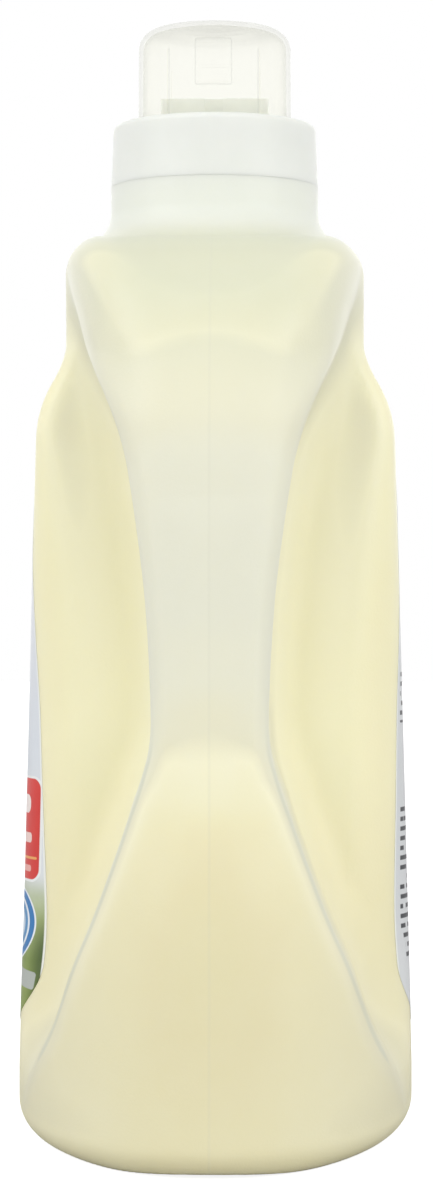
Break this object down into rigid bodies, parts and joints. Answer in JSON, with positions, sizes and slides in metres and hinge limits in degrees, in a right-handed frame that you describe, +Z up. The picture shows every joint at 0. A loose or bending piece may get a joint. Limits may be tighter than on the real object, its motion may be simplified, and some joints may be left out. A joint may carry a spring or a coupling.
{
  "type": "laundry detergent bottle",
  "caption": "Translucent blow-moulded jug with an end handle, filled with pale yellow liquid, with a collared pour spout and a clear dosing cup as its cap.",
  "frame": {"origin": "on the floor under the middle of the bottle's outline seen from above", "axes": "+Z up; the broad label faces look along -Y (front) and +Y (back); the handle is at +X"},
  "size_m": [0.187, 0.111, 0.3051],
  "materials": {
    "jug_plastic": "satin, milky translucent polyethylene",
    "spout_plastic": "satin, milky translucent",
    "cup_plastic": "clear polypropylene with a soft gloss",
    "liquid": "clear pale yellow liquid",
    "front_film": "printed film, plain fields of colour",
    "back_film": "printed film, plain"
  },
  "bodies": {
    "jug": {"bottle": "jug_plastic", "bottle_neck": "jug_plastic", "pour_spout": "spout_plastic", "detergent": "liquid", "front_label": "front_film", "back_label": "back_film"},
    "cup": {"dosing_cup": "cup_plastic"}
  },
  "joints": [
    {"name": "cup_lift", "type": "slide", "parent": "jug", "child": "cup", "axis": [0, 0, 1], "range_m": [0, 0.06]}
  ]
}
